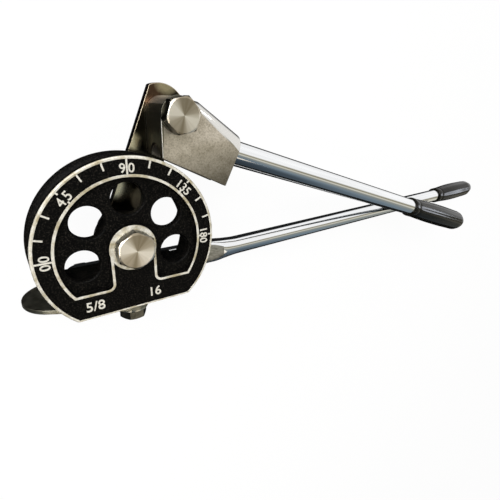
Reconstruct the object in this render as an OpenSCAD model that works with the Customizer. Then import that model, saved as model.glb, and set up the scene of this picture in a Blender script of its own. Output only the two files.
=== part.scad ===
// Lever tube bender, lying on its back: +X to the 180 mark, +Y to the 90 mark,
// +Z out of the dial. The origin is on the wheel's axis, on the bench.

/* [Tube and bend] */
// Outside diameter of the tube that the bender takes
tube_d = 16; // [14:0.5:17]
// Radius of the bend along the tube's centre line
bend_r = 57; // [56:0.5:62]
// Dial reading at which the tool stands, in degrees
bend_now = 115; // [100:1:125]

/* [Form wheel] */
// Wall of the wheel on each side of the groove
flange_t = 4.5; // [4:0.25:6]
// Gap between the wheel's rim and the shoe's edge
rim_gap = 0.5; // [0.3:0.1:1]
// Distance of the wheel's flat below its axis
flat_drop = 42.3; // [41.8:0.1:44]
// Width of the bare ring at the rim
rim_land = 1.9; // [1.2:0.1:2.5]
// Width of the bare edge along the flat
flat_land = 1.2; // [0.8:0.1:2]
// Bevel on both edges of the rim
rim_bevel = 0.7; // [0.3:0.1:1]
// Depth of the dial band below the bare edges
band_drop = 0.7; // [0.4:0.1:1]
// Radius of the pocket in the face
pocket_r = 44.1; // [43:0.1:46]
// Distance of the pocket's lower edge below the axis
pocket_low = 25.1; // [24:0.1:27]
// Depth of the pocket in the face
pocket_depth = 4; // [3:0.25:5]
// Width of the bare bead round the pocket
bead_w = 1.8; // [1.2:0.1:2.4]
// Radius of the bare boss round the centre bolt
hub_r = 14.9; // [14.7:0.1:16]
// Thickness of the web that the lightening holes go through
web_t = 5.5; // [4:0.25:8]
// Radius of the recess in the wheel's back
recess_r = 43; // [42:0.25:45]
// Distance of that recess's lower edge below the axis
recess_low = 19; // [18.5:0.25:20]
// Width of the land that joins the hub to the lower edge
stem_w = 28.8; // [28:0.2:31]
// Rounding where that land meets the lower edge
stem_fillet = 3.2; // [2:0.2:5]
// Radius of each lightening hole
web_hole_r = 10; // [8:0.25:10.5]
// Radius of the circle of lightening holes
web_hole_ring = 30.5; // [29.5:0.25:31.5]
// Number of lightening holes
web_hole_count = 5; // [3:1:5]
// Angle from one lightening hole to the next
web_hole_step = 52.5; // [48:0.5:54]
// Bevel at the mouth of each lightening hole
web_hole_bevel = 0.8; // [0.4:0.1:1.2]

/* [Pivot bolts] */
// Shank diameter of the two pivot bolts
bolt_d = 14; // [12:0.5:14]
// Width of the centre bolt's head across its flats
head_af = 22; // [21:0.5:24]
// Height of the centre bolt's head
head_h = 5.8; // [5:0.2:8]
// Width of the shoe bolt's head across its flats
shoe_head_af = 20; // [19:0.5:22]
// Height of the shoe bolt's head
shoe_head_h = 7.5; // [6:0.25:9]
// Angle of the shoe bolt's head, in degrees
shoe_head_turn = 12; // [0:1:59]
// Thread diameter of the shoe bolt behind its shoulder
thread_d = 10; // [8:0.5:11]
// Outside diameter of the washer behind the link at the wheel's axis
washer_od = 28; // [26:0.5:28.5]
// Thickness of the pivot washers
washer_t = 1.5; // [1:0.25:2.5]
// Height of the hexagon of the centre lock nut
nut_h = 12.5; // [11:0.5:14]
// Height of the round collar on the centre lock nut
nut_collar_h = 3.5; // [3:0.25:4.5]
// Length of bolt that stands out of the centre lock nut
bolt_tail = 4.5; // [2.5:0.25:6]
// Running clearance of a pin in its bore, on the radius
run_clear = 0.05; // [0.03:0.01:0.08]

/* [Link] */
// Thickness of the link strap
link_t = 6; // [5:0.25:7]
// Width of the link strap
link_w = 25; // [24:0.5:27]
// Radius of the strap's two ends about the pivots
link_end_r = 18; // [17:0.25:18.5]
// Side gap of the link strap to the wheel and the shoe
side_gap = 0.5; // [0.3:0.1:0.7]

/* [Shoe] */
// Length of the shoe's edge behind the tangent point
shoe_heel = 2.8; // [2:0.2:4]
// Length of the shoe's edge ahead of the tangent point
shoe_toe = 46.5; // [42:0.5:52]
// Distance of the shoe's edge from the tube's middle
shoe_lift = 1; // [0.5:0.1:2]
// Distance of the pivot behind the tangent point
pivot_back = 4; // [3:0.25:5]
// Height of the pivot above the tube's middle
pivot_rise = 28; // [27:0.25:30]
// Radius of the shoe's eye round the pivot bolt
eye_r = 10.5; // [10:0.25:11.5]
// Distance of the hump's rear end ahead of the tangent point
hump_rear_s = 8; // [6:0.5:12]
// Height of the hump's axis at its rear end
hump_rear_h = 28.5; // [27:0.5:31]
// Height of the hump's axis at the handle end
hump_front_h = 24.5; // [24:0.5:26]
// Radius of the hump at its rear end
hump_rear_r = 14.5; // [13.5:0.25:16]
// Radius of the hump at the handle end
hump_front_r = 12.6; // [12.6:0.1:13.5]

/* [Moving handle] */
// Diameter of the moving handle's bar
bar_d = 18; // [16:0.5:18.5]
// Length of the bar outside the shoe
bar_len = 391; // [300:1:450]
// Depth of the socket in the shoe
socket_depth = 24; // [18:0.5:25]
// Height of the socket's axis above the tube's middle at the toe
socket_h = 24.6; // [24:0.2:26]
// Angle between the handle and the shoe's edge, in degrees
bar_tilt = 9; // [7:0.5:11]
// Length of the grip on the moving handle
bar_grip_len = 137; // [90:1:160]
// Largest diameter of the grip on the moving handle
bar_grip_d = 25.5; // [24:0.5:26]
// Wall of a grip at its mouth
grip_wall = 1.8; // [1.2:0.1:2.4]
// Diameter of the pin that locks the bar in the shoe
lock_pin_d = 5; // [4:0.5:6]

/* [Fixed handle] */
// Diameter of the fixed handle's bar
fixed_d = 16; // [14:0.5:17]
// Height of the fixed handle's axis above the bench
fixed_z = 12.5; // [12.3:0.1:13.5]
// Distance of the flattened end's axis below the wheel's axis
tang_drop = 32.3; // [31.5:0.1:32.8]
// Length of the flattened end to the left of the wheel's axis
tang_left = 37; // [33:0.5:38]
// Length of the flattened end to the right of the wheel's axis
tang_right = 87; // [76:0.5:92]
// Width of the flattened end
tang_w = 19.6; // [18:0.1:19.8]
// Diameter of the bar where the flattened end runs into it
root_d = 19.5; // [17:0.1:19.6]
// Thickness of the flattened end
tang_t = 11; // [10:0.25:11.5]
// Length over which the bar tapers from there
root_len = 52; // [30:1:80]
// Length of the bar from the wheel's axis to its end
fixed_len = 518; // [420:1:560]
// Angle by which the bar rises towards its end, in degrees
fixed_rise = 1.9; // [0:0.1:2.4]
// Length of the grip on the fixed handle
fixed_grip_len = 92; // [70:1:120]
// Largest diameter of the grip on the fixed handle
fixed_grip_d = 22; // [20.5:0.5:23]
// Height of the seat's upper edge above the flattened end
seat_lip = 1.5; // [0.5:0.25:2.5]
// Diameter of the two bolts that hold the fixed handle
seat_bolt_d = 8; // [6:0.5:8]
// Height of the heads of these bolts
seat_head_h = 5; // [4:0.1:5.3]
// Distance of each of these bolts from the wheel's axis
seat_bolt_x = 24; // [20:0.5:26]

/* [Tube catch] */
// Thickness of the catch plate
catch_t = 3; // [2.5:0.25:4]
// Length of the catch from its pivot to its tip
catch_len = 75.8; // [74:0.1:78]
// Width of the catch at its pivot
catch_root_w = 22; // [20:0.5:24]
// Width of the catch at its thumb end
catch_tip_w = 45.2; // [43:0.2:47]
// Angle by which the catch hangs back, in degrees
catch_hang = 39.2; // [34:0.1:42]
// Angle from the catch's middle line to its tube notch, in degrees
catch_notch_turn = 4; // [0:0.5:8]
// Thread diameter of the catch's bolt
catch_bolt_d = 10; // [8:0.5:10]
// Height of that bolt's head
catch_head_h = 6.5; // [5:0.25:8]
// Depth of that bolt's hole in the wheel
catch_bolt_depth = 13; // [10:0.5:14]

/* [Hidden] */
$fn = 96;
hull_fn = 48;
seat_clear = 0.02;
cut = 1;
small_washer_t = 1.5;
head_af_ratio = 1.6;
small_washer_ratio = 2;
catch_spacer_t = 0.8;
catch_notch_gap = 0.3;
socket_bevel = 1;
hex_bevel = 30;
grip_mouth = 9;
collar_step = 1;
collar_wall = 1;
bolt_end_bevel = 1;
pivot_washer_edge = 1;
grip_end_ratio = 2;
grip_dome_ratio = 0.8;
thread_nut_af_ratio = 1.7;
thread_nut_ratio = 0.6;
thread_collar_ratio = 0.2;
thread_tail_ratio = 0.15;
notch_flare = 2;
plate_key = 5;

wheel_t = tube_d + 2 * flange_t;
rim_r = bend_r - rim_gap;
tube_r = tube_d / 2;
bolt_r = bolt_d / 2;
thread_r = thread_d / 2;
thread_nut_af = thread_d * thread_nut_af_ratio;
thread_nut_h = thread_d * thread_nut_ratio;
thread_collar_h = thread_d * thread_collar_ratio;
thread_tail = thread_d * thread_tail_ratio;

// Heights of the stack from the bench up
nut_z = bolt_tail;
rear_washer_z = nut_z + nut_h + nut_collar_h;
link_z = rear_washer_z + washer_t;
back_z = link_z + link_t + side_gap;
mid_z = back_z + wheel_t / 2;
front_z = back_z + wheel_t;
hub_z = front_z - pocket_depth;
web_z = hub_z - web_t;
thread_washer_z = link_z - washer_t;
thread_nut_z = thread_washer_z - thread_nut_h - thread_collar_h;

// The tangent point on the dial, and the pivot above it
edge_turn = 90 - bend_now;
tangent_at = bend_r * [sin(-edge_turn), cos(edge_turn)];
pivot_at = tangent_at + rot2([-pivot_back, pivot_rise], edge_turn);
pivot_arm = norm(pivot_at);
pivot_dir = atan2(pivot_at[1], pivot_at[0]);

tang_top_z = fixed_z + tang_t / 2;
tang_low_z = fixed_z - tang_t / 2;
seat_bolt_r = seat_bolt_d / 2;
seat_bolt_grip = (back_z - tang_top_z) + flange_t;

catch_y = -flat_drop - catch_spacer_t;
catch_bolt_r = catch_bolt_d / 2;
catch_tip_r = catch_tip_w / 2;
catch_notch_r = tube_r + catch_notch_gap;

function rot2(v, a) = [v[0] * cos(a) - v[1] * sin(a), v[0] * sin(a) + v[1] * cos(a)];

// Children stand with x along the shoe's edge and y away from the wheel
module at_shoe() {
    translate([tangent_at[0], tangent_at[1], 0])
        rotate(edge_turn)
            children();
}

// Children stand with z along the moving handle, from the toe outwards
module at_bar() {
    at_shoe()
        translate([shoe_toe, socket_h, mid_z])
            rotate([0, 90, bar_tilt])
                children();
}

// Children stand with z along the fixed handle, from the wheel's axis outwards
module at_fixed() {
    translate([tang_right, -tang_drop, fixed_z])
        rotate([0, 90, fixed_rise])
            translate([0, 0, -tang_right])
                children();
}

// Children stand in the plane of the catch, hanging back about its bolt
module at_catch() {
    translate([0, catch_y, mid_z])
        rotate([0, -catch_hang, 0])
            rotate([90, 0, 0])
                children();
}

module at_pivot() {
    translate([pivot_at[0], pivot_at[1], 0])
        children();
}

// Hexagon with its upper end bevelled to a circle
module hexagon(af, h) {
    corner = af / cos(30) / 2;
    drop = (corner - af / 2) * tan(hex_bevel);
    intersection() {
        cylinder(r = corner, h = h, $fn = 6);
        union() {
            cylinder(r = corner + cut, h = h - drop);
            translate([0, 0, h - drop])
                cylinder(r1 = corner, r2 = af / 2 - drop / 2, h = drop);
        }
    }
}

module ring(od, id, h) {
    difference() {
        cylinder(d = od, h = h);
        translate([0, 0, -cut])
            cylinder(d = id, h = h + 2 * cut);
    }
}

// Outline of the wheel: a circle cut by the flat, both drawn in
module wheel_outline(inset, flat_inset) {
    low = flat_drop - flat_inset;
    reach = 2 * rim_r;
    difference() {
        circle(r = rim_r - inset);
        translate([-reach, -reach - low])
            square([2 * reach, reach]);
    }
}

// The pocket in the wheel's face, drawn out by grow to give the bead's outer edge
module pocket_outline(grow) {
    half = stem_w / 2;
    low = pocket_low + grow;
    difference() {
        circle(r = pocket_r + grow);
        translate([-2 * pocket_r, -2 * pocket_r - low])
            square([4 * pocket_r, 2 * pocket_r]);
        translate([grow - half, -2 * pocket_r])
            square([2 * (half - grow), 2 * pocket_r]);
        for (side = [0, 1])
            mirror([side, 0])
                stem_foot(half, grow);
    }
}

module stem_foot(half, grow) {
    difference() {
        translate([half - grow, -pocket_low - grow])
            square(stem_fillet + grow);
        translate([half + stem_fillet, stem_fillet - pocket_low])
            circle(r = stem_fillet + grow);
    }
}

module wheel_blank() {
    difference() {
        translate([0, 0, back_z])
            linear_extrude(wheel_t)
                wheel_outline(0, 0);
        translate([0, 0, mid_z])
            rotate_extrude()
                translate([bend_r, 0])
                    circle(r = tube_r);
        for (side = [0, 1])
            translate([0, 0, mid_z])
                mirror([0, 0, side])
                    rotate_extrude()
                        polygon([
                            [rim_r - rim_bevel, wheel_t / 2],
                            [rim_r + cut, wheel_t / 2 + cut],
                            [rim_r + cut, wheel_t / 2 - rim_bevel - cut]
                        ]);
    }
}

// Seat on the wheel's back that carries the fixed handle
module handle_seat() {
    half = tang_w / 2;
    translate([-tang_left, -tang_drop - half, tang_top_z])
        cube([2 * tang_left, tang_w + seat_lip, back_z - tang_top_z + cut]);
}

module web_holes() {
    first = 90 - (web_hole_count - 1) / 2 * web_hole_step;
    for (i = [0 : web_hole_count - 1])
        rotate(first + i * web_hole_step)
            translate([web_hole_ring, 0, 0]) {
                translate([0, 0, back_z - cut])
                    cylinder(r = web_hole_r, h = wheel_t + 2 * cut);
                translate([0, 0, hub_z - web_hole_bevel])
                    cylinder(r1 = web_hole_r, r2 = web_hole_r + web_hole_bevel + cut, h = web_hole_bevel + cut);
            }
}

// Recess in the wheel's back, round the hub and above the seat
module back_recess() {
    translate([0, 0, back_z - cut])
        linear_extrude(web_z - back_z + cut)
            difference() {
                circle(r = recess_r);
                circle(r = link_end_r);
                translate([-2 * recess_r, -2 * recess_r - recess_low])
                    square([4 * recess_r, 2 * recess_r]);
            }
}

module form_wheel() {
    color("#1c1c1c")
        difference() {
            union() {
                wheel_blank();
                handle_seat();
            }
            translate([0, 0, front_z - band_drop])
                linear_extrude(band_drop + cut)
                    difference() {
                        wheel_outline(rim_land, flat_land);
                        pocket_outline(bead_w);
                        circle(r = hub_r);
                    }
            translate([0, 0, hub_z])
                linear_extrude(pocket_depth + cut)
                    difference() {
                        pocket_outline(0);
                        circle(r = hub_r);
                    }
            back_recess();
            web_holes();
            translate([0, 0, back_z - cut])
                cylinder(r = bolt_r + run_clear, h = wheel_t + 2 * cut);
            translate([0, -flat_drop - cut, mid_z])
                rotate([-90, 0, 0])
                    cylinder(r = catch_bolt_r + seat_clear, h = catch_bolt_depth + cut);
            for (side = [-1, 1])
                translate([side * seat_bolt_x, -tang_drop, tang_top_z - cut])
                    cylinder(r = seat_bolt_r + seat_clear, h = seat_bolt_grip + cut);
        }
}

// Round shank from foot to top, with a bevel at its foot
module shank(r, foot, top) {
    translate([0, 0, foot])
        cylinder(r1 = r - bolt_end_bevel, r2 = r, h = bolt_end_bevel);
    translate([0, 0, foot + bolt_end_bevel])
        cylinder(r = r, h = top - foot - bolt_end_bevel);
}

// Lock nut, its collar towards the bench, with the groove that holds its nylon ring
module lock_nut(r, af, hex_h, collar_h) {
    collar_r = af / 2 - collar_step;
    difference() {
        union() {
            translate([0, 0, collar_h + hex_h])
                mirror([0, 0, 1])
                    hexagon(af, hex_h);
            cylinder(r = collar_r, h = collar_h + cut);
        }
        translate([0, 0, -cut])
            cylinder(r = r + run_clear, h = hex_h + collar_h + 2 * cut);
        translate([0, 0, -cut])
            cylinder(r = collar_r - collar_wall, h = collar_h + cut);
    }
}

module nut_ring(r, af, collar_h) {
    collar_r = af / 2 - collar_step;
    translate([0, 0, seat_clear])
        ring(2 * (collar_r - collar_wall - seat_clear), 2 * (r + run_clear), collar_h - 2 * seat_clear);
}

module centre_bolt() {
    color("#b9b2a2") {
        shank(bolt_r, 0, front_z + washer_t);
        translate([0, 0, front_z + washer_t])
            rotate(30)
                hexagon(head_af, head_h);
    }
}

module centre_washer() {
    color("#c9c4b4")
        translate([0, 0, front_z])
            ring(head_af + 2 * pivot_washer_edge, bolt_d + 2 * run_clear, washer_t);
}

module centre_rear_washer() {
    color("#c9c4b4")
        translate([0, 0, rear_washer_z])
            ring(washer_od, bolt_d + 2 * run_clear, washer_t);
}

module centre_lock_nut() {
    color("#b9b2a2")
        translate([0, 0, nut_z])
            lock_nut(bolt_r, head_af, nut_h, nut_collar_h);
}

module centre_nut_ring() {
    color("#dfe3e6")
        translate([0, 0, nut_z])
            nut_ring(bolt_r, head_af, nut_collar_h);
}

// Shoulder bolt: the link and the shoe turn on the thick shank, the nut sits on the thin one
module pivot_bolt() {
    under_head = front_z + side_gap + washer_t;
    color("#b9b2a2")
        at_pivot() {
            shank(thread_r, thread_nut_z - thread_tail, link_z + cut);
            translate([0, 0, link_z])
                cylinder(r = bolt_r, h = under_head - link_z);
            translate([0, 0, under_head])
                rotate(shoe_head_turn)
                    hexagon(shoe_head_af, shoe_head_h);
        }
}

module pivot_washer() {
    color("#c9c4b4")
        at_pivot()
            translate([0, 0, front_z + side_gap])
                ring(shoe_head_af + 2 * pivot_washer_edge, bolt_d + 2 * run_clear, washer_t);
}

module pivot_rear_washer() {
    color("#c9c4b4")
        at_pivot()
            translate([0, 0, thread_washer_z])
                ring(2 * thread_d, thread_d + 2 * run_clear, washer_t);
}

module pivot_lock_nut() {
    color("#b9b2a2")
        at_pivot()
            translate([0, 0, thread_nut_z])
                lock_nut(thread_r, thread_nut_af, thread_nut_h, thread_collar_h);
}

module pivot_nut_ring() {
    color("#dfe3e6")
        at_pivot()
            translate([0, 0, thread_nut_z])
                nut_ring(thread_r, thread_nut_af, thread_collar_h);
}

module link_strap() {
    color("#c8cacb")
        translate([0, 0, link_z])
            rotate(pivot_dir)
                linear_extrude(link_t)
                    difference() {
                        intersection() {
                            translate([-link_end_r, -link_w / 2])
                                square([pivot_arm + 2 * link_end_r, link_w]);
                            union() {
                                circle(r = link_end_r);
                                translate([pivot_arm, 0])
                                    circle(r = link_end_r);
                                translate([0, -link_w / 2])
                                    square([pivot_arm, link_w]);
                            }
                        }
                        for (x = [0, pivot_arm])
                            translate([x, 0])
                                circle(r = bolt_r + run_clear);
                    }
}

// Solid of the shoe: the eye, the straight body over the edge and the round hump
module shoe_blank() {
    hump_drop = hump_rear_h - hump_front_h;
    hump_run = shoe_toe - hump_rear_s;
    hull() {
        translate([-pivot_back, pivot_rise, back_z])
            cylinder(r = eye_r, h = wheel_t, $fn = hull_fn);
        translate([-shoe_heel, shoe_lift, back_z])
            cube([shoe_heel + shoe_toe, hump_front_h - shoe_lift, wheel_t]);
        intersection() {
            translate([hump_rear_s, hump_rear_h, mid_z])
                rotate([0, 90, -atan2(hump_drop, hump_run)])
                    cylinder(r1 = hump_rear_r, r2 = hump_front_r, h = norm([hump_drop, hump_run]), $fn = hull_fn);
            translate([0, 0, back_z])
                cube([shoe_toe, 2 * hump_rear_h, wheel_t]);
        }
    }
}

module forming_shoe() {
    color("#b4ab98")
        difference() {
            at_shoe()
                shoe_blank();
            at_shoe()
                translate([-shoe_heel - eye_r, 0, mid_z])
                    rotate([0, 90, 0])
                        cylinder(r = tube_r, h = shoe_heel + shoe_toe + 2 * eye_r);
            at_pivot()
                translate([0, 0, back_z - cut])
                    cylinder(r = bolt_r + run_clear, h = wheel_t + 2 * cut);
            at_bar()
                translate([0, 0, -socket_depth])
                    cylinder(r = bar_d / 2 + seat_clear, h = 2 * socket_depth);
            lock_pin_hole();
        }
}

// Hole of the lock pin, from the shoe's back through the bar
module lock_pin_hole() {
    at_shoe()
        translate([shoe_toe - socket_depth / 2, socket_h - socket_depth / 2 * tan(bar_tilt), back_z - cut])
            cylinder(r = lock_pin_d / 2 + seat_clear, h = wheel_t / 2 + bar_d / 4 + cut);
}

module handle_lock_pin() {
    color("#8d8f90")
        at_shoe()
            translate([shoe_toe - socket_depth / 2, socket_h - socket_depth / 2 * tan(bar_tilt), back_z])
                cylinder(d = lock_pin_d, h = wheel_t / 2 + bar_d / 4 - seat_clear);
}

module moving_handle() {
    color("#cfd1d2")
        difference() {
            at_bar()
                translate([0, 0, seat_clear - socket_depth])
                    bar(bar_d / 2, socket_depth + bar_len - seat_clear);
            lock_pin_hole();
        }
}

// Round bar with a bevel at both ends
module bar(r, length) {
    rotate_extrude()
        polygon([
            [0, 0], [r - socket_bevel, 0], [r, socket_bevel],
            [r, length - socket_bevel], [r - socket_bevel, length], [0, length]
        ]);
}

// Moulded grip on a bar that ends at z = 0: mouth at the foot, swelling to a round end
module grip(length, bar_r, grip_r) {
    end_t = grip_wall * grip_end_ratio;
    mouth_r = bar_r + grip_wall;
    dome_r = grip_r * grip_dome_ratio;
    difference() {
        union() {
            rotate_extrude()
                polygon([
                    [0, end_t - length],
                    [mouth_r - grip_wall / 2, end_t - length],
                    [mouth_r, end_t - length + grip_wall / 2],
                    [mouth_r, end_t - length + grip_mouth],
                    [grip_r, end_t - dome_r * 2],
                    [grip_r, end_t - dome_r],
                    [0, end_t - dome_r]
                ]);
            translate([0, 0, end_t - dome_r])
                grip_dome(grip_r, dome_r);
        }
        translate([0, 0, -length])
            cylinder(r = bar_r + seat_clear, h = length + seat_clear);
    }
}

module grip_dome(r, h) {
    rotate_extrude()
        intersection() {
            translate([r - h, 0])
                circle(r = h);
            square([r, h]);
        }
    cylinder(r = r - h, h = h);
}

module moving_grip() {
    color("#3a3834")
        at_bar()
            translate([0, 0, bar_len])
                grip(bar_grip_len, bar_d / 2, bar_grip_d / 2);
}

module fixed_grip() {
    color("#3a3834")
        at_fixed()
            translate([0, 0, fixed_len])
                grip(fixed_grip_len, fixed_d / 2, fixed_grip_d / 2);
}

// Flattened end of the fixed handle, rounded at the left, with a key that goes into the bar
module tang_outline() {
    half = tang_w / 2;
    translate([half - tang_left, 0])
        circle(r = half);
    translate([half - tang_left, -half])
        square([tang_left + tang_right - half, tang_w]);
    translate([0, -half / 2])
        square([tang_right + plate_key, half]);
}

module fixed_handle() {
    bar_r = fixed_d / 2;
    color("#c4c7c9")
        difference() {
            union() {
                translate([0, -tang_drop, tang_low_z])
                    linear_extrude(tang_t)
                        tang_outline();
                at_fixed()
                    rotate_extrude()
                        polygon([
                            [0, tang_right], [root_d / 2, tang_right], [bar_r, tang_right + root_len],
                            [bar_r, fixed_len - socket_bevel], [bar_r - socket_bevel, fixed_len], [0, fixed_len]
                        ]);
            }
            for (side = [-1, 1])
                translate([side * seat_bolt_x, -tang_drop, tang_low_z - cut])
                    cylinder(r = seat_bolt_r + seat_clear, h = tang_t + 2 * cut);
        }
}

module handle_bolts() {
    color("#8d8f90")
        for (side = [-1, 1])
            translate([side * seat_bolt_x, -tang_drop, tang_low_z - small_washer_t])
                small_bolt(seat_bolt_r, small_washer_t + tang_t + seat_bolt_grip - cut, seat_head_h);
}

// Small hexagon bolt: head below z = 0, shank above it
module small_bolt(r, shank, head) {
    mirror([0, 0, 1])
        hexagon(2 * r * head_af_ratio, head);
    cylinder(r = r, h = shank);
}

module handle_bolt_washers() {
    color("#9a9c9d")
        for (side = [-1, 1])
            translate([side * seat_bolt_x, -tang_drop, tang_low_z - small_washer_t])
                ring(seat_bolt_d * small_washer_ratio, seat_bolt_d + 2 * seat_clear, small_washer_t);
}

// Notch of the catch: a round seat for the tube, open to the rear and wider inwards
module catch_notch() {
    out = catch_tip_w;
    rotate(180 + catch_notch_turn) {
        translate([bend_r, 0])
            circle(r = catch_notch_r);
        polygon([
            [bend_r + catch_notch_r, 0],
            [bend_r + catch_notch_r, out],
            [bend_r - notch_flare * catch_notch_r, out],
            [bend_r - catch_notch_r, 0]
        ]);
    }
}

module catch_plate() {
    tip_x = catch_tip_r - catch_len;
    color("#74726a")
        at_catch()
            difference() {
                linear_extrude(catch_t)
                    difference() {
                        hull() {
                            circle(d = catch_root_w, $fn = hull_fn);
                            translate([tip_x, 0])
                                circle(r = catch_tip_r, $fn = hull_fn);
                        }
                        catch_notch();
                    }
                translate([0, 0, -cut])
                    cylinder(r = catch_bolt_r + run_clear, h = catch_t + 2 * cut);
            }
}

module catch_bolt() {
    under = catch_spacer_t + catch_t + small_washer_t + side_gap;
    color("#8f8a7c")
        translate([0, -flat_drop - under, mid_z])
            rotate([-90, 0, 0])
                small_bolt(catch_bolt_r, under + catch_bolt_depth - cut, catch_head_h);
}

module catch_washer() {
    color("#9a9c9d")
        translate([0, catch_y - catch_t - side_gap / 2, mid_z])
            rotate([90, 0, 0])
                ring(catch_bolt_d * small_washer_ratio, catch_bolt_d + 2 * seat_clear, small_washer_t);
}

module catch_spacer() {
    color("#9a9c9d")
        translate([0, -flat_drop, mid_z])
            rotate([90, 0, 0])
                ring(catch_bolt_d * small_washer_ratio, catch_bolt_d + 2 * seat_clear, catch_spacer_t);
}

form_wheel();
centre_bolt();
centre_washer();
centre_rear_washer();
centre_lock_nut();
centre_nut_ring();
fixed_handle();
handle_bolts();
handle_bolt_washers();
fixed_grip();
catch_plate();
catch_bolt();
catch_washer();
catch_spacer();
link_strap();
pivot_bolt();
pivot_washer();
pivot_rear_washer();
pivot_lock_nut();
pivot_nut_ring();
forming_shoe();
moving_handle();
moving_grip();
handle_lock_pin();
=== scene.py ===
import math
import bmesh
import bpy
from mathutils import Matrix, Vector


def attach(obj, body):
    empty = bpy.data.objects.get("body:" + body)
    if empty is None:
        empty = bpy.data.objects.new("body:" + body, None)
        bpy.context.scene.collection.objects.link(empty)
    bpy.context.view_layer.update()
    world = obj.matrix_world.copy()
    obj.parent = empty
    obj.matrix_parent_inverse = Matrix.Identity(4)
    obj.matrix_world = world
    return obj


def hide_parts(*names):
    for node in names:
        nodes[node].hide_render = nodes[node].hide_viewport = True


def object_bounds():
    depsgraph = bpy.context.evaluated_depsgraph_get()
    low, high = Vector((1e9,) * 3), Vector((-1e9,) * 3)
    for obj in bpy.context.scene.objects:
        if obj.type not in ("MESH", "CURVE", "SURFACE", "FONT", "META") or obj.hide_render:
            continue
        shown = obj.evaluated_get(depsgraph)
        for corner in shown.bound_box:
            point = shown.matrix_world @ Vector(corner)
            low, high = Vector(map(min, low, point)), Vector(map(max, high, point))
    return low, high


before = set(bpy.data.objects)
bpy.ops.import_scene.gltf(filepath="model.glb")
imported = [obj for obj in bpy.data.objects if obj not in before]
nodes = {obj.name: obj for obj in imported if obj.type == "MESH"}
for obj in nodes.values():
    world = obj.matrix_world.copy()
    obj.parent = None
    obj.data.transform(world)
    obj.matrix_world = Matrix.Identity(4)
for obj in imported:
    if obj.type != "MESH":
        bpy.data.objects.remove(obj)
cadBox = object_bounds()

mm = 0.001
scene = bpy.context.scene
print("frame loaded:", len(nodes), "nodes")

# heights and places of the solids, in mm, as the part's source has them
place = {
    "frontZ": 53.5, "bandZ": 52.8, "midZ": 41.0, "rimRadius": 56.5, "rimBevel": 0.7,
    "pivot": (32.297, 78.727), "tangent": (24.089, 51.66), "edgeTurn": -25.0,
    "barStart": (76.63, 54.31, 41.0), "barTurn": -16.0,
    "fixedStart": (87.0, -32.3, 12.5), "fixedTurn": 1.9,
}


def hexColour(code):
    # sRGB hex to linear
    parts = [int(code[i:i + 2], 16) / 255 for i in (1, 3, 5)]
    return [p / 12.92 if p <= 0.04045 else ((p + 0.055) / 1.055) ** 2.4 for p in parts] + [1.0]


def addNode(tree, kind, inputs=None, **settings):
    # one node with its settings; an input is a number, a colour or another node's socket
    node = tree.nodes.new(kind)
    for key, value in settings.items():
        setattr(node, key, value)
    for key, value in (inputs or {}).items():
        socket = node.inputs[key]
        if isinstance(value, bpy.types.NodeSocket):
            tree.links.new(value, socket)
        elif isinstance(value, str):
            socket.default_value = hexColour(value)
        else:
            socket.default_value = value
    return node


def newMaterial(name):
    material = bpy.data.materials.new(name)
    material.use_nodes = True
    tree = material.node_tree
    tree.nodes.clear()
    output = tree.nodes.new("ShaderNodeOutputMaterial")
    coords = tree.nodes.new("ShaderNodeTexCoord").outputs["Object"]
    return material, tree, output, coords


def setRamp(node, stops):
    # stops are (position, hex) pairs
    ramp = node.color_ramp
    while len(ramp.elements) < len(stops):
        ramp.elements.new(0.5)
    for element, (position, code) in zip(ramp.elements, stops):
        element.position = position
        element.color = hexColour(code)
    return node.outputs["Color"]


def noiseRamp(tree, vector, sizeMm, stops, detail=3.0, roughness=0.55):
    # a noise whose patches are about sizeMm wide, and its colours
    noise = addNode(tree, "ShaderNodeTexNoise",
                    {"Vector": vector, "Scale": 1 / (sizeMm * mm), "Detail": detail, "Roughness": roughness})
    colour = setRamp(addNode(tree, "ShaderNodeValToRGB", {"Fac": noise.outputs["Fac"]}), stops)
    return noise.outputs["Fac"], colour


def bumpOf(tree, height, strength, depthMm):
    inputs = {"Height": height, "Strength": strength, "Distance": depthMm * mm}
    return addNode(tree, "ShaderNodeBump", inputs).outputs[0]


def maths(tree, operation, *values):
    return addNode(tree, "ShaderNodeMath", dict(enumerate(values)), operation=operation).outputs[0]


def threshold(tree, value, levelMm):
    # 1 where the value is above the level
    return maths(tree, "GREATER_THAN", value, levelMm * mm)


def spreadOver(tree, value, low, high, toLow=0.0, toHigh=1.0):
    # carries low to high over to toLow to toHigh, and holds the ends
    inputs = {"Value": value, "From Min": low, "From Max": high, "To Min": toLow, "To Max": toHigh}
    return addNode(tree, "ShaderNodeMapRange", inputs).outputs[0]


def mixColour(tree, share, first, second, blend="MIX"):
    return addNode(tree, "ShaderNodeMix", {"Factor": share, "A": first, "B": second},
                   data_type="RGBA", blend_type=blend).outputs["Result"]


def mixSurface(tree, share, first, second):
    return addNode(tree, "ShaderNodeMixShader", {0: share, 1: first, 2: second}).outputs[0]


def splitXYZ(tree, vector):
    return addNode(tree, "ShaderNodeSeparateXYZ", {"Vector": vector}).outputs


def levelness(tree, normal):
    # 1 on faces that lie level, 0 on upright walls
    geometry = addNode(tree, "ShaderNodeNewGeometry")
    return maths(tree, "ABSOLUTE", splitXYZ(tree, geometry.outputs[normal])["Z"])


def surfaceOf(tree, inputs):
    return addNode(tree, "ShaderNodeBsdfPrincipled", inputs).outputs[0]


paint = {
    "colour": "#030303", "speck": "#2b2824", "bare": "#e8e5dc", "bareDark": "#d0ccc1",
    "smear": "#cbc2a8", "smearMm": 6.0, "grainMm": 0.85, "roughness": 0.45, "specular": 0.055, "bump": 0.5,
    "bareMetallic": 0.3, "bareRoughness": 0.42,
}


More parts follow.
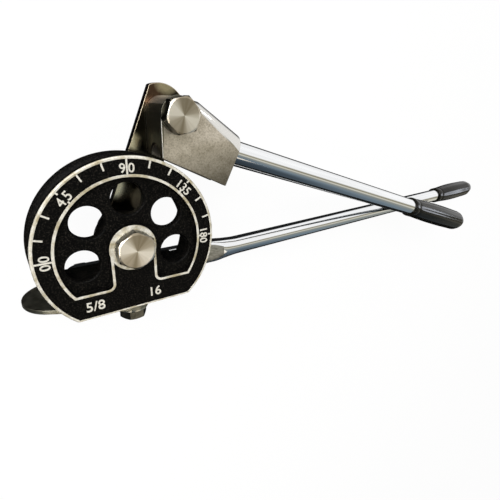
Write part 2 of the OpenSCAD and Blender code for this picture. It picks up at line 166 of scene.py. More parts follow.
def castPaintMaterial():
    # textured black enamel on cast aluminium: pebbled and half glossy, filed bare on the raised edges
    material, tree, output, coords = newMaterial("textured black enamel on cast aluminium")
    pebble, speck = noiseRamp(tree, coords, paint["grainMm"], [(0.52, paint["colour"]), (0.72, paint["speck"])])
    enamel = surfaceOf(tree, {"Base Color": speck, "Roughness": paint["roughness"],
                              "Specular IOR Level": paint["specular"],
                              "Normal": bumpOf(tree, pebble, paint["bump"], 0.4)})
    scratch, bareColour = noiseRamp(tree, coords, 1.2, [(0.35, paint["bareDark"]), (0.6, paint["bare"])], 4.0)
    smear, dull = noiseRamp(tree, coords, paint["smearMm"], [(0.42, "#ffffff"), (0.66, paint["smear"])], 3.0)
    bare = surfaceOf(tree, {"Base Color": mixColour(tree, 1.0, bareColour, dull, "MULTIPLY"),
                            "Metallic": paint["bareMetallic"], "Roughness": paint["bareRoughness"],
                            "Normal": bumpOf(tree, scratch, 0.1, 0.2)})
    # bare where the face stands highest, and on the rim's front bevel
    part = splitXYZ(tree, coords)
    high = threshold(tree, part["Z"], place["frontZ"] - 0.05)
    flat = addNode(tree, "ShaderNodeCombineXYZ", {"X": part["X"], "Y": part["Y"]})
    radius = addNode(tree, "ShaderNodeVectorMath", {0: flat.outputs["Vector"]}, operation="LENGTH")
    outer = threshold(tree, radius.outputs["Value"], place["rimRadius"] - place["rimBevel"] - 0.1)
    bevelHigh = threshold(tree, part["Z"], place["frontZ"] - place["rimBevel"] + 0.02)
    filed = maths(tree, "MAXIMUM", high, maths(tree, "MULTIPLY", outer, bevelHigh))
    tree.links.new(mixSurface(tree, filed, enamel, bare), output.inputs["Surface"])
    return material


def bareMarkMaterial():
    # cast aluminium filed bare: pale and satin
    material, tree, output, coords = newMaterial("filed bare aluminium")
    grain, colour = noiseRamp(tree, coords, 0.8, [(0.35, paint["bareDark"]), (0.6, paint["bare"])])
    surface = surfaceOf(tree, {"Base Color": colour, "Metallic": paint["bareMetallic"],
                               "Roughness": paint["bareRoughness"]})
    tree.links.new(surface, output.inputs["Surface"])
    return material


# turned faces: tones and sectors of the painted reflection, and the axis and share of the painted highlight; the flats
# carry painted shade
turned = {"tones": [(0.34, "#938873"), (0.46, "#c1b7a5"), (0.55, "#dfd7c8"), (0.66, "#fff9ee")],
          "paintedSectors": 0.6, "axis": (0.93, -0.37, 0.0), "paintedBow": 0.3, "pitchMm": 0.4, "roughness": 0.34,
          "flats": [(0.35, "#2b2923"), (0.65, "#5c584c")]}


def turnedSteelMaterial(name, centre, flatsTop):
    # zinc-plated steel with lathe marks: fine rings about the bolt's axis, and tones of the plating that fan out from
    # it as painted reflection;
    # the flats below the turned face are painted dark, as painted shade
    material, tree, output, coords = newMaterial(name)
    mapping = addNode(tree, "ShaderNodeMapping", {"Vector": coords, "Location": (-centre[0] * mm, -centre[1] * mm, 0)})
    # a ring wave of scale s repeats every 2 pi / (20 s)
    rings = addNode(tree, "ShaderNodeTexWave",
                    {"Vector": mapping.outputs[0], "Scale": 2 * math.pi / 20 / (turned["pitchMm"] * mm),
                     "Distortion": 0.5, "Detail": 1.0}, wave_type="RINGS", rings_direction="Z")
    flat = addNode(tree, "ShaderNodeVectorMath", {0: mapping.outputs[0], 1: (1, 1, 0)}, operation="MULTIPLY")
    outwards = addNode(tree, "ShaderNodeVectorMath", {0: flat.outputs[0]}, operation="NORMALIZE")
    paintedFan = addNode(tree, "ShaderNodeTexNoise",
                  {"Vector": outwards.outputs[0], "Scale": turned["paintedSectors"], "Detail": 3.0, "Roughness": 0.6})
    # a painted highlight: a bright bow tie along one axis, broken up by the painted fan of reflections
    lie = addNode(tree, "ShaderNodeVectorMath", {0: outwards.outputs[0], 1: turned["axis"]}, operation="DOT_PRODUCT")
    square = maths(tree, "POWER", lie.outputs["Value"], 2.0)
    rest = maths(tree, "MULTIPLY", paintedFan.outputs["Fac"], 1 - turned["paintedBow"])
    both = maths(tree, "MULTIPLY_ADD", square, turned["paintedBow"], rest)
    colour = setRamp(addNode(tree, "ShaderNodeValToRGB", {"Fac": both}), turned["tones"])
    face = surfaceOf(tree, {"Base Color": colour, "Metallic": 1.0, "Roughness": turned["roughness"],
                            "Normal": bumpOf(tree, rings.outputs["Fac"], 0.3, 0.05)})
    # painted shade: the flats below the turned face are dark
    mottle, dark = noiseRamp(tree, coords, 3.0, turned["flats"])
    flats = surfaceOf(tree, {"Base Color": dark, "Metallic": 1.0, "Roughness": 0.3})
    top = threshold(tree, splitXYZ(tree, coords)["Z"], flatsTop)
    tree.links.new(mixSurface(tree, top, flats, face), output.inputs["Surface"])
    return material


def metalMaterial(name, tones, patchMm, roughLow, roughHigh):
    # plated or ground steel: patches of tone and gloss
    material, tree, output, coords = newMaterial(name)
    patch, colour = noiseRamp(tree, coords, patchMm, tones, 6.0, 0.62)
    rough = spreadOver(tree, patch, 0.3, 0.7, roughLow, roughHigh)
    surface = surfaceOf(tree, {"Base Color": colour, "Metallic": 1.0, "Roughness": rough})
    tree.links.new(surface, output.inputs["Surface"])
    return material


chrome = {"light": "#f8f9fa", "dark": "#e8e9ea", "streakMm": 2.0, "stretch": 0.02,
          "roughLow": 0.06, "roughHigh": 0.12,
          "forged": "#b4b3ab", "forgedDark": "#7a7972", "forgedRough": 0.44, "forgedEndMm": 87.0, "pressed": 0.93}


def barMaterial(name, turn, forged):
    # satin chrome on drawn bar: fine streaks along it; the pressed faces of the flattened end are duller
    material, tree, output, coords = newMaterial(name)
    along = addNode(tree, "ShaderNodeMapping", {"Vector": coords, "Rotation": (0, 0, -math.radians(turn))})
    squeeze = addNode(tree, "ShaderNodeMapping", {"Vector": along.outputs[0], "Scale": (chrome["stretch"], 1, 1)})
    streak, colour = noiseRamp(tree, squeeze.outputs[0], chrome["streakMm"],
                               [(0.3, chrome["dark"]), (0.6, chrome["light"])], 4.0)
    rough = spreadOver(tree, streak, 0.3, 0.7, chrome["roughLow"], chrome["roughHigh"])
    surface = surfaceOf(tree, {"Base Color": colour, "Metallic": 1.0, "Roughness": rough})
    if forged:
        scale, dull = noiseRamp(tree, squeeze.outputs[0], 0.8,
                                [(0.35, chrome["forgedDark"]), (0.62, chrome["forged"])], 5.0)
        end = surfaceOf(tree, {"Base Color": dull, "Metallic": 1.0, "Roughness": chrome["forgedRough"],
                               "Normal": bumpOf(tree, scale, 0.2, 0.2)})
        near = maths(tree, "LESS_THAN", splitXYZ(tree, coords)["X"], chrome["forgedEndMm"] * mm)
        pressed = maths(tree, "GREATER_THAN", levelness(tree, "Normal"), chrome["pressed"])
        surface = mixSurface(tree, maths(tree, "MULTIPLY", near, pressed), surface, end)
    tree.links.new(surface, output.inputs["Surface"])
    return material


strap = {"tones": [(0.4, "#2e2b26"), (0.6, "#4a463b")], "patchMm": 12.0, "edge": "#b9ab95",
         "roughness": 0.16, "shallow": 3.0,
         # middle and radius in mm, strength and colour of the spots: a brown tone of the plating, a painted highlight
         # on the top end that is partly wear, and two patches of painted light seen through the wheel's holes;
         # they stay on the front face
         "spotsAndPaintedLight": [((25, 91, 28), 13.0, 0.45, "#6b4c39"), ((36, 98, 28), 9.0, 0.55, "#f6ebc8"),
                   ((13.4, 61.0, 28), 6.5, 1.0, "#fff4d2"), ((2.5, 31.5, 28), 9.0, 1.0, "#fff4d2")]}


def strapMaterial():
    # dark plated strap steel: near black and glossy, with spots of brown tone and of painted light
    material, tree, output, coords = newMaterial("dark plated strap steel")
    patch, colour = noiseRamp(tree, coords, strap["patchMm"], strap["tones"], 5.0)
    deep = addNode(tree, "ShaderNodeMapping", {"Vector": coords, "Scale": (1, 1, strap["shallow"])})
    # spots of brown plating tone, and cream spots of painted highlight and painted light
    for (x, y, z), radius, strength, tint in strap["spotsAndPaintedLight"]:
        away = addNode(tree, "ShaderNodeVectorMath",
                       {0: deep.outputs[0], 1: (x * mm, y * mm, z * mm * strap["shallow"])}, operation="DISTANCE")
        ragged = maths(tree, "ADD", away.outputs["Value"], maths(tree, "MULTIPLY", patch, radius * mm))
        share = spreadOver(tree, ragged, radius * mm, 1.5 * radius * mm, strength, 0.0)
        colour = mixColour(tree, share, colour, tint)
    # paler along its broken edges, which lean between the face and the side: partly wear, partly a painted highlight
    edge = maths(tree, "COMPARE", levelness(tree, "True Normal"), 0.55, 0.4)
    colour = mixColour(tree, edge, colour, strap["edge"])
    surface = surfaceOf(tree, {"Base Color": colour, "Metallic": 1.0, "Roughness": strap["roughness"]})
    tree.links.new(surface, output.inputs["Surface"])
    return material


shoe = {"tones": [(0.3, "#b6ad9c"), (0.48, "#dad0c0"), (0.7, "#eee6d8")], "grainMm": 1.1, "pitMm": 0.45,
        "patchMm": 9.0, "patch": "#e4e3df", "fleckMm": 0.55, "fleck": "#8b8374",
        # painted shade towards the toe and on the rear end, and a pale bevel colour that is partly wear and partly a
        # painted highlight
        "paintedShade": "#6d6d69", "paintedShadeFrom": -2.0, "paintedShadeTo": 30.0, "rear": "#6c6656", "rearFrom": -1.6,
        "worn": "#fffaf0", "wornAndHighlightTo": 14.0, "satin": 0.4,
        # height of the hump's seam at a place along the edge, and how it falls
        "polished": "#e0ded9", "gloss": 0.2, "seam": 35.85, "seamFall": -0.2532, "seamAt": 8.0}


def shoeMaterial():
    # ground and plated cast steel: satin and pitted, darker towards the toe and the wheel as painted shade, polished on
    # the hump, paler at its edge as wear and a painted highlight
    material, tree, output, coords = newMaterial("ground and plated cast steel")
    x, y = place["tangent"]
    shift = addNode(tree, "ShaderNodeMapping", {"Vector": coords, "Location": (-x * mm, -y * mm, 0)})
    turn = addNode(tree, "ShaderNodeMapping",
                   {"Vector": shift.outputs[0], "Rotation": (0, 0, -math.radians(place["edgeTurn"]))})
    part = splitXYZ(tree, turn.outputs[0])

    def along(a, b):
        # a s + b h, with s along the shoe's edge and h away from the wheel
        return maths(tree, "MULTIPLY_ADD", part["Y"], b, maths(tree, "MULTIPLY", part["X"], a))

    grain, colour = noiseRamp(tree, coords, shoe["grainMm"], shoe["tones"], 6.0, 0.62)
    # broad patches of tone, and small dark flecks
    patch, broad = noiseRamp(tree, coords, shoe["patchMm"], [(0.35, shoe["patch"]), (0.62, "#ffffff")], 4.0)
    fleck, dark = noiseRamp(tree, coords, shoe["fleckMm"], [(0.64, "#ffffff"), (0.7, shoe["fleck"])], 2.0)
    for layer in (broad, dark):
        colour = mixColour(tree, 1.0, colour, layer, "MULTIPLY")
    # painted shade: darker towards the toe and towards the wheel
    paintedShade = spreadOver(tree, along(0.6, -0.8), shoe["paintedShadeFrom"] * mm, shoe["paintedShadeTo"] * mm)
    colour = mixColour(tree, paintedShade, colour, shoe["paintedShade"], "MULTIPLY")
    # painted shade: dark on the rear end; its front and back edges are paler where their bevels lean, partly wear and
    # partly a painted highlight
    rear = maths(tree, "LESS_THAN", along(1.0, 0.43), shoe["rearFrom"] * mm)
    colour = mixColour(tree, rear, colour, shoe["rear"])
    depth = maths(tree, "ABSOLUTE", maths(tree, "SUBTRACT", part["Z"], place["midZ"] * mm))
    front = threshold(tree, depth, place["frontZ"] - place["midZ"] - 0.6)
    bevel = maths(tree, "LESS_THAN", levelness(tree, "Normal"), 0.95)
    near = maths(tree, "LESS_THAN", part["X"], shoe["wornAndHighlightTo"] * mm)
    # partly wear, partly a painted highlight: paler on the front and back bevels towards the heel
    worn = maths(tree, "MULTIPLY", maths(tree, "MULTIPLY", bevel, front), near)
    colour = mixColour(tree, worn, colour, shoe["worn"])
    pits = addNode(tree, "ShaderNodeTexNoise", {"Vector": coords, "Scale": 1 / (shoe["pitMm"] * mm), "Detail": 3.0})
    ground = surfaceOf(tree, {"Base Color": colour, "Metallic": 1.0, "Roughness": shoe["satin"],
                              "Normal": bumpOf(tree, pits.outputs["Fac"], 0.12, 0.2)})
    hump = threshold(tree, along(-shoe["seamFall"], 1.0), shoe["seam"] - shoe["seamFall"] * shoe["seamAt"])
    bright = surfaceOf(tree, {"Base Color": shoe["polished"], "Metallic": 1.0, "Roughness": shoe["gloss"]})
    tree.links.new(mixSurface(tree, hump, ground, bright), output.inputs["Surface"])
    return material


vinyl = {"colour": "#0e0d09", "worn": "#1d1c16", "roughness": 0.15, "specular": 0.13, "bump": 0.05,
         "streakMm": 1.6, "stretch": 0.04}


def gripMaterial(name, turn):
    # glossy dip-moulded vinyl: near black with an olive cast and faint lengthwise streaks
    material, tree, output, coords = newMaterial(name)
    along = addNode(tree, "ShaderNodeMapping", {"Vector": coords, "Rotation": (0, 0, -math.radians(turn))})
    squeeze = addNode(tree, "ShaderNodeMapping", {"Vector": along.outputs[0], "Scale": (vinyl["stretch"], 1, 1)})
    streak, colour = noiseRamp(tree, squeeze.outputs[0], vinyl["streakMm"],
                               [(0.4, vinyl["colour"]), (0.75, vinyl["worn"])], 4.0)
    surface = surfaceOf(tree, {"Base Color": colour, "Roughness": vinyl["roughness"],
                               "Specular IOR Level": vinyl["specular"],
                               "Normal": bumpOf(tree, streak, vinyl["bump"], 0.2)})
    tree.links.new(surface, output.inputs["Surface"])
    return material


def nylonMaterial():
    # moulded white nylon: waxy and soft
    material, tree, output, coords = newMaterial("moulded white nylon")
    cloud, colour = noiseRamp(tree, coords, 2.0, [(0.3, "#d5d8d8"), (0.7, "#e6e8e7")], 2.0)
    surface = surfaceOf(tree, {"Base Color": colour, "Roughness": 0.45, "IOR": 1.53})
    tree.links.new(surface, output.inputs["Surface"])
    return material


castPaint = castPaintMaterial()
bareMark = bareMarkMaterial()
turnedCentre = turnedSteelMaterial("turned zinc-plated steel, centre", (0, 0), 60.2)
turnedPivot = turnedSteelMaterial("turned zinc-plated steel, pivot", place["pivot"], 62.5)
washerSteel = metalMaterial("zinc-plated washer steel", [(0.32, "#a9a69b"), (0.62, "#d8d4c6")], 5, 0.22, 0.34)
platedStrap = strapMaterial()
groundSteel = shoeMaterial()
catchSteel = metalMaterial("oiled grey steel plate", [(0.32, "#83806f"), (0.62, "#aaa798")], 6, 0.34, 0.46)
boltSteel = metalMaterial("dark zinc-plated bolt steel", [(0.32, "#55534a"), (0.62, "#757266")], 3, 0.32, 0.44)
smallSteel = metalMaterial("dull zinc-plated small steel", [(0.32, "#7e7b72"), (0.62, "#b6b2a6")], 3, 0.28, 0.42)
barChrome = barMaterial("satin chrome, moving handle", place["barTurn"], False)
fixedChrome = barMaterial("satin chrome, fixed handle", place["fixedTurn"], True)
barVinyl = gripMaterial("dipped vinyl, moving grip", place["barTurn"])
fixedVinyl = gripMaterial("dipped vinyl, fixed grip", place["fixedTurn"])
nylon = nylonMaterial()

finishOf = {
    "form_wheel": castPaint,
    "centre_bolt": turnedCentre, "centre_lock_nut": smallSteel,
    "pivot_bolt": turnedPivot, "pivot_lock_nut": smallSteel,
    "centre_washer": washerSteel, "centre_rear_washer": washerSteel,
    # the front pivot washer takes the dark bolt steel as painted shade
    "pivot_washer": boltSteel, "pivot_rear_washer": washerSteel,
    "centre_nut_ring": nylon, "pivot_nut_ring": nylon,
    "fixed_handle": fixedChrome, "moving_handle": barChrome,
    "link_strap": platedStrap, "forming_shoe": groundSteel,
    "handle_bolts": smallSteel, "handle_bolt_washers": smallSteel, "handle_lock_pin": smallSteel,
    "catch_plate": catchSteel, "catch_bolt": boltSteel, "catch_washer": washerSteel, "catch_spacer": washerSteel,
    "moving_grip": barVinyl, "fixed_grip": fixedVinyl,
}
for name, material in finishOf.items():
    mesh = nodes[name].data
    mesh.materials.clear()
    mesh.materials.append(material)
print("materials on", len(finishOf), "nodes")


def addPiece(name, bm, material, body):
    # a finished mesh at the origin that rides on a body
    mesh = bpy.data.meshes.new(name)
    bmesh.ops.remove_doubles(bm, verts=bm.verts, dist=1e-7)
    bmesh.ops.recalc_face_normals(bm, faces=bm.faces)
    bm.to_mesh(mesh)
    bm.free()
    mesh.materials.append(material)
    piece = bpy.data.objects.new(name, mesh)
    scene.collection.objects.link(piece)
    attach(piece, body)
    return piece


def shadeRound(piece, angle):
    # smooth faces, with the edges above the angle kept sharp
    piece.data.polygons.foreach_set("use_smooth", [True] * len(piece.data.polygons))
    piece.data.set_sharp_from_angle(angle=math.radians(angle))


# solids whose edges are broken: body, slot, bevel in mm, segments, angle above which a face edge stays sharp
softened = {
    "form_wheel": ("form", "cast_paint", 0.22, 2, 32),
    "forming_shoe": ("shoe", "ground_steel", 0.5, 3, 32),
    "link_strap": ("link", "plated_strap", 0.5, 2, 32),
    "catch_plate": ("catch", "catch_steel", 0.4, 2, 32),
    "centre_bolt": ("form", "turned_steel", 0.15, 2, 16),
    "pivot_bolt": ("link", "turned_steel", 0.15, 2, 16),
    "catch_bolt": ("form", "turned_steel", 0.2, 2, 16),
    "handle_bolts": ("form", "turned_steel", 0.2, 2, 16),
    "centre_lock_nut": ("form", "turned_steel", 0.2, 2, 16),
    "pivot_lock_nut": ("link", "turned_steel", 0.2, 2, 16),
    "centre_washer": ("form", "turned_steel", 0.25, 2, 32),
    "pivot_washer": ("link", "turned_steel", 0.25, 2, 32),
    "catch_washer": ("form", "turned_steel", 0.25, 2, 32),
}


def softenEdges():
    for name, (body, slot, width, segments, sharp) in softened.items():
        bm = bmesh.new()
        bm.from_mesh(nodes[name].data)
        bmesh.ops.remove_doubles(bm, verts=bm.verts, dist=1e-6)
        bmesh.ops.dissolve_limit(bm, angle_limit=math.radians(0.3), use_dissolve_boundaries=False,
                                 verts=bm.verts, edges=bm.edges, delimit={"NORMAL"})
        piece = addPiece(name + "_soft", bm, finishOf[name], body)
        shadeRound(piece, sharp)
        bevel = piece.modifiers.new("broken edges", "BEVEL")
        bevel.width = width * mm
        bevel.segments = segments
        bevel.limit_method = "ANGLE"
        bevel.angle_limit = math.radians(40)
        bevel.use_clamp_overlap = False
        bevel.harden_normals = True
        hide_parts(name)


softenEdges()
print("edges broken on", len(softened), "pieces")


# the fixed bar in mm along itself: flat with rounded sides, then swelling into the round
fixedBar = {"left": -37.0, "half": 9.8, "thick": 5.5, "square": 4.0, "flatEnd": 72.0, "roundFrom": 90.0,
            "widthEnd": 80.0, "narrowFrom": 104.0, "radius": 8.0, "end": 518.0, "bend": 87.0, "steps": 64}


def easeBetween(value, low, high):
    share = min(max((value - low) / (high - low), 0), 1)
    return share * share * (3 - 2 * share)


def fixedBarStations():
    # (along, half width, half thickness, squareness)
    look = fixedBar
    half, thick, square, radius = look["half"], look["thick"], look["square"], look["radius"]
    stations = []
    for i in range(11):
        a = math.radians(8 + 82 * i / 10)
        stations.append((look["left"] + half - half * math.cos(a), half * math.sin(a), thick, square))
    for i in range(17):
        along = look["flatEnd"] + (look["narrowFrom"] - look["flatEnd"]) * i / 16
        wide = easeBetween(along, look["widthEnd"], look["narrowFrom"])
        high = easeBetween(along, look["flatEnd"], look["roundFrom"])
        stations.append((along, half + (radius - half) * wide, thick + (radius - thick) * high,
                         square + (2 - square) * high))
    return stations + [(look["end"] - 0.8, radius, radius, 2), (look["end"], radius - 0.8, radius - 0.8, 2)]


def makeFixedBar():
    bm = bmesh.new()
    start = Matrix.Translation(Vector(place["fixedStart"]) * mm)
    rings = []
    for along, half, thick, square in fixedBarStations():
        # the round part is turned a little about the end of the flat
        past = along - fixedBar["bend"]
        turn = Matrix.Rotation(math.radians(place["fixedTurn"] if past > 0 else 0), 4, "Z")
        to = start @ turn @ Matrix.Translation(Vector((past, 0, 0)) * mm)
        ring = []
        for i in range(fixedBar["steps"]):
            a = 2 * math.pi * i / fixedBar["steps"]
            c, s = math.cos(a), math.sin(a)
            across = math.copysign(half * abs(c) ** (2 / square), c)
            up = math.copysign(thick * abs(s) ** (2 / square), s)
            ring.append(bm.verts.new(to @ (Vector((0, across, up)) * mm)))
        rings.append(ring)
    for low, high in zip(rings, rings[1:]):
        for i in range(len(low)):
            bm.faces.new((low[i - 1], low[i], high[i], high[i - 1]))
    bm.faces.new(rings[0])
    bm.faces.new(rings[-1])
    piece = addPiece("fixed_handle_forged", bm, fixedChrome, "form")
    shadeRound(piece, 40)
    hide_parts("fixed_handle")


makeFixedBar()
print("fixed bar forged")


grips = {
    "moving_grip": {"body": "shoe", "start": place["barStart"], "turn": place["barTurn"], "end": 394.6,
                    "length": 137.0, "bore": 9.02, "radius": 12.75, "finish": barVinyl},
    "fixed_grip": {"body": "form", "start": place["fixedStart"], "turn": place["fixedTurn"], "end": 434.6,
                   "length": 92.0, "bore": 8.02, "radius": 11.0, "finish": fixedVinyl},
}
gripShape = {"wall": 1.8, "endWall": 3.6, "collar": 8.0, "groove": 0.5, "swell": 0.9,
             "flutes": 11, "depth": 0.25, "stepsPerFlute": 12, "stations": 16, "dome": 1.5}


def gripProfile(look):
    # (along, radius) from the tip on the axis over the outside to the mouth and back through the bore
    length, tip = look["length"], look["radius"]
    mouth = look["bore"] + gripShape["wall"]
    # the end is a long half ellipse
    dome = tip * gripShape["dome"]
    points = [(length, 0)]
    for i in range(1, 13):
        a = math.radians(90 - 90 * i / 12)
        points.append((length - dome + dome * math.sin(a), tip * math.cos(a)))
    first, last = gripShape["collar"] + 1.4, length - 1.4 * dome
    for i in range(gripShape["stations"] + 1):
        u = i / gripShape["stations"]
        points.append((last + (first - last) * u, tip + (mouth - tip) * u + gripShape["swell"] * math.sin(math.pi * u)))
    collar = gripShape["collar"]
    points += [(collar + 0.9, mouth - 0.1), (collar + 0.6, mouth - gripShape["groove"]),
               (collar + 0.2, mouth - gripShape["groove"]), (collar - 0.2, mouth - 0.1), (collar - 0.6, mouth),
               (0.9, mouth), (0.3, mouth - 0.2), (0, mouth - 0.7), (0, look["bore"]),
               (length - gripShape["endWall"], look["bore"]), (length - gripShape["endWall"], 0)]
    return points


def makeGrip(name, look):
    bm = bmesh.new()
    verts = [bm.verts.new((x * mm, y * mm, 0)) for x, y in gripProfile(look)]
    edges = [bm.edges.new(pair) for pair in zip(verts, verts[1:])]
    bmesh.ops.spin(bm, geom=verts + edges, cent=(0, 0, 0), axis=(1, 0, 0), angle=2 * math.pi,
                   steps=gripShape["flutes"] * gripShape["stepsPerFlute"], use_merge=True)
    bmesh.ops.remove_doubles(bm, verts=bm.verts, dist=1e-6)
    # shallow flutes along the body, fading at the collar and over the end
    begin, finish = gripShape["collar"] + 1.4, look["length"] - 2.5
    for vert in bm.verts:
        x, radius = vert.co.x / mm, math.hypot(vert.co.y, vert.co.z) / mm
        if begin < x < finish and radius > look["bore"] + 0.5:
            fade = min(1, (x - begin) / 6) * min(1, (finish - x) / 12)
            wave = 0.5 - 0.5 * math.cos(gripShape["flutes"] * math.atan2(vert.co.z, vert.co.y))
            scale = 1 - gripShape["depth"] * fade * wave ** 2 / radius
            vert.co.y *= scale
            vert.co.z *= scale
    turn = Matrix.Rotation(math.radians(look["turn"]), 4, "Z")
    along = Matrix.Translation(Vector((look["end"] - look["length"], 0, 0)) * mm)
    bmesh.ops.transform(bm, verts=bm.verts, matrix=Matrix.Translation(Vector(look["start"]) * mm) @ turn @ along)
    piece = addPiece(name + "_fluted", bm, look["finish"], look["body"])
    shadeRound(piece, 50)
    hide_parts(name)


for name, look in grips.items():
    makeGrip(name, look)
print("grips fluted")


def dialTurn(reading):
    # the turn that carries +Y to a mark of the dial
    return Matrix.Rotation(math.radians(90 - reading), 4, "Z")


ticks = {"step": 15, "outer": 54.8, "inner": 50.1, "bead": 45.6, "width": 1.0, "top": 53.44, "bevel": 0.12,
         "full": (0, 90), "stub": (45, 135, 180), "stubOuter": 53.2, "stubInner": 47.0}


def dialTicks():
    bm = bmesh.new()
    low = place["bandZ"] - 0.2
    for reading in range(0, 181, ticks["step"]):
        spans = [(ticks["inner"], ticks["outer"])]
        if reading in ticks["full"]:
            spans = [(ticks["bead"], ticks["outer"])]
        if reading in ticks["stub"]:
            spans = [(ticks["stubOuter"], ticks["outer"]), (ticks["bead"], ticks["stubInner"])]
        for inner, outer in spans:
            size = Vector((ticks["width"], outer - inner, ticks["top"] - low)) * mm
            centre = Vector((0, (outer + inner) / 2, (ticks["top"] + low) / 2)) * mm
            made = bmesh.ops.create_cube(bm, size=1.0)["verts"]
            bmesh.ops.transform(bm, verts=made, matrix=dialTurn(reading) @ Matrix.Translation(centre)
                                @ Matrix.Diagonal((*size, 1)))
    bmesh.ops.bevel(bm, geom=bm.edges[:], offset=ticks["bevel"] * mm, segments=2, profile=0.5,
                    affect="EDGES", material=-1)
    return addPiece("dial_ticks", bm, bareMark, "form")


figures = {"height": 5.4, "sizeHeight": 6.4, "depth": 0.62, "bold": 0.06, "foot": 46.9,
           "pairGap": 5.2, "tripleGap": 3.9,
           "rows": [("00", 0), ("45", 45), ("90", 90), ("135", 135), ("180", 180)],
           "sizes": [("5/8", -26.2, -37.0), ("16", 12.0, -37.0)]}


def textMesh(words, height):
    # one line of figures as a mesh, centred on its width, its foot on y = 0
    curve = bpy.data.curves.new("figures", "FONT")
    curve.body = words
    curve.align_x = "CENTER"
    curve.size = height * mm / 0.7
    curve.extrude = figures["depth"] * mm / 2
    curve.offset = figures["bold"] * mm
    curve.resolution_u = 6
    text = bpy.data.objects.new("figures", curve)
    scene.collection.objects.link(text)
    mesh = bpy.data.meshes.new_from_object(text.evaluated_get(bpy.context.evaluated_depsgraph_get()))
    bpy.data.objects.remove(text)
    return mesh


def dialFigures():
    bm = bmesh.new()
    level = (place["bandZ"] + place["frontZ"]) / 2 - 0.05
    middle = figures["foot"] + figures["height"] / 2
    for words, reading in figures["rows"]:
        gap = figures["pairGap"] if len(words) == 2 else figures["tripleGap"]
        for i, figure in enumerate(words):
            turn = math.degrees((i - (len(words) - 1) / 2) * gap / middle)
            mesh = textMesh(figure, figures["height"])
            mesh.transform(dialTurn(reading + turn) @ Matrix.Translation(Vector((0, figures["foot"], level)) * mm))
            bm.from_mesh(mesh)
    for words, x, y in figures["sizes"]:
        mesh = textMesh(words, figures["sizeHeight"])
        mesh.transform(Matrix.Translation(Vector((x, y, level)) * mm))
        bm.from_mesh(mesh)
    return addPiece("dial_figures", bm, bareMark, "form")


dialTicks()
dialFigures()
print("dial marks made")


stageLook = {"floor": "#ffffff", "size": 8.0, "glow": 0.95, "paintedNearShade": "#1c1d1e",
             "across": (0.287, 1.0, 0.0), "paintedShadeToMm": 140, "whiteFromMm": 200}


def floorMaterial():
    # matt white paper that keeps the shadow; metal sees it as a glowing sheet, painted dark on the near side as painted
    # shade
    material, tree, output, coords = newMaterial("matt white paper")
    paper = addNode(tree, "ShaderNodeBsdfDiffuse", {"Color": stageLook["floor"]})
    glow = addNode(tree, "ShaderNodeEmission", {"Color": "#ffffff", "Strength": 1.0})
    path = addNode(tree, "ShaderNodeLightPath")
    share = maths(tree, "MULTIPLY", path.outputs["Is Camera Ray"], stageLook["glow"])
    seen = mixSurface(tree, share, paper.outputs[0], glow.outputs[0])
    # to glossy rays the floor is a glowing sheet with painted shade near the tool, white beyond
    far = addNode(tree, "ShaderNodeVectorMath", {0: coords, 1: stageLook["across"]}, operation="DOT_PRODUCT")
    spread = spreadOver(tree, far.outputs["Value"], stageLook["paintedShadeToMm"] * mm, stageLook["whiteFromMm"] * mm)
    tone = setRamp(addNode(tree, "ShaderNodeValToRGB", {"Fac": spread}),
                   [(0.0, stageLook["paintedNearShade"]), (1.0, stageLook["floor"])])
    mirrored = addNode(tree, "ShaderNodeEmission", {"Color": tone, "Strength": 1.0})
    surface = mixSurface(tree, path.outputs["Is Glossy Ray"], seen, mirrored.outputs[0])
    tree.links.new(surface, output.inputs["Surface"])
    return material


def makeFloor():
    bm = bmesh.new()
    level = Matrix.Translation((0, 0, cadBox[0][2] - 0.2 * mm))
    bmesh.ops.create_grid(bm, x_segments=1, y_segments=1, size=stageLook["size"] / 2, matrix=level)
    mesh = bpy.data.meshes.new("floor")
    bm.to_mesh(mesh)
    bm.free()
    mesh.materials.append(floorMaterial())
    floor = bpy.data.objects.new("floor", mesh)
    scene.collection.objects.link(floor)


studio = {"along": (0.3, 1.0, -0.3),
          # dark blue-grey to white, with one tan strip before the white
          "tones": [(0.0, "#161b20"), (0.12, "#434e57"), (0.23, "#72818c"), (0.3, "#858b8a"), (0.35, "#969890"),
                    (0.385, "#d6d4c8"), (0.42, "#c9c5b6"), (0.46, "#8c8773"), (0.5, "#8c8773"), (0.58, "#ffffff")]}


def makeWorld():
    # a pale studio: white beyond the dial, dark and blue-grey on the near side
    world = bpy.data.worlds.new("studio")
    world.use_nodes = True
    tree = world.node_tree
    tree.nodes.clear()
    coords = addNode(tree, "ShaderNodeTexCoord")
    dot = addNode(tree, "ShaderNodeVectorMath", {0: coords.outputs["Generated"], 1: studio["along"]},
                  operation="DOT_PRODUCT")
    spread = spreadOver(tree, dot.outputs["Value"], -1.0, 1.0)
    colour = setRamp(addNode(tree, "ShaderNodeValToRGB", {"Fac": spread}), studio["tones"])
    back = addNode(tree, "ShaderNodeBackground", {"Color": colour, "Strength": 1.0})
    white = addNode(tree, "ShaderNodeBackground", {"Color": "#ffffff", "Strength": 1.0})
    path = addNode(tree, "ShaderNodeLightPath")
    surface = mixSurface(tree, path.outputs["Is Camera Ray"], back.outputs[0], white.outputs[0])
    output = tree.nodes.new("ShaderNodeOutputWorld")
    tree.links.new(surface, output.inputs["Surface"])
    scene.world = world


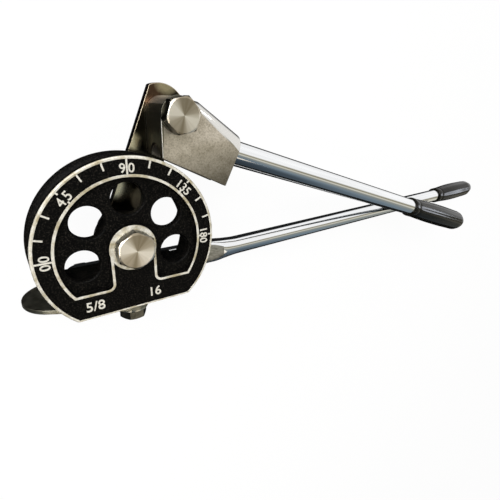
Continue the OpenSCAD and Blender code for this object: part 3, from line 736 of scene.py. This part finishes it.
lamps = [
    # name, from direction, distance m, width m, watts, colour, the pieces that it lights if not all;
    # the far one lights the grips alone, so that the bars keep clean bands
    ("key softbox", (-0.5, 0.55, 0.8), 1.4, 0.8, 16.0, "#ffffff", ()),
    ("small softbox", (-0.62, -0.3, 0.72), 1.0, 0.25, 2.0, "#fff6e6", ()),
    ("front panel", (0.2, -0.5, 0.84), 1.0, 0.5, 0.7, "#fff0d8", ()),
    ("far softbox", (0.9, 0.02, 0.425), 1.8, 0.45, 4.5, "#eef4ff", ("moving_grip_fluted", "fixed_grip_fluted")),
]


def makeLamps():
    aim = Vector((60, 10, 30)) * mm
    for name, direction, distance, width, watts, colour, only in lamps:
        light = bpy.data.lights.new(name, "AREA")
        light.shape = "SQUARE"
        light.size = width
        light.energy = watts
        light.color = hexColour(colour)[:3]
        lamp = bpy.data.objects.new(name, light)
        toLamp = Vector(direction).normalized()
        lamp.location = aim + toLamp * distance
        lamp.rotation_euler = toLamp.to_track_quat("Z", "Y").to_euler()
        scene.collection.objects.link(lamp)
        if only:
            lit = bpy.data.collections.new("lit by the " + name)
            for piece in only:
                lit.objects.link(bpy.data.objects[piece])
            lamp.light_linking.receiver_collection = lit


view = {
    "location": (-63.3, 86.8, 263.2), "up": (0.18, 0.928, -0.325), "forward": (0.544, -0.369, -0.753),
    "lens": 25.855, "shift": (0.0036, -0.0078),
}


def makeCamera():
    data = bpy.data.cameras.new("photo view")
    data.sensor_width = 36
    data.lens = view["lens"]
    data.shift_x, data.shift_y = view["shift"]
    data.clip_start = 0.01
    camera = bpy.data.objects.new("photo view", data)
    forward = Vector(view["forward"]).normalized()
    right = forward.cross(Vector(view["up"])).normalized()
    up = right.cross(forward)
    turn = Matrix((right, up, -forward)).transposed().to_4x4()
    camera.matrix_world = Matrix.Translation(Vector(view["location"]) * mm) @ turn
    scene.collection.objects.link(camera)
    scene.camera = camera


makeFloor()
makeWorld()
makeLamps()
makeCamera()
scene.view_settings.view_transform = "Standard"
print("stage, light and camera set")
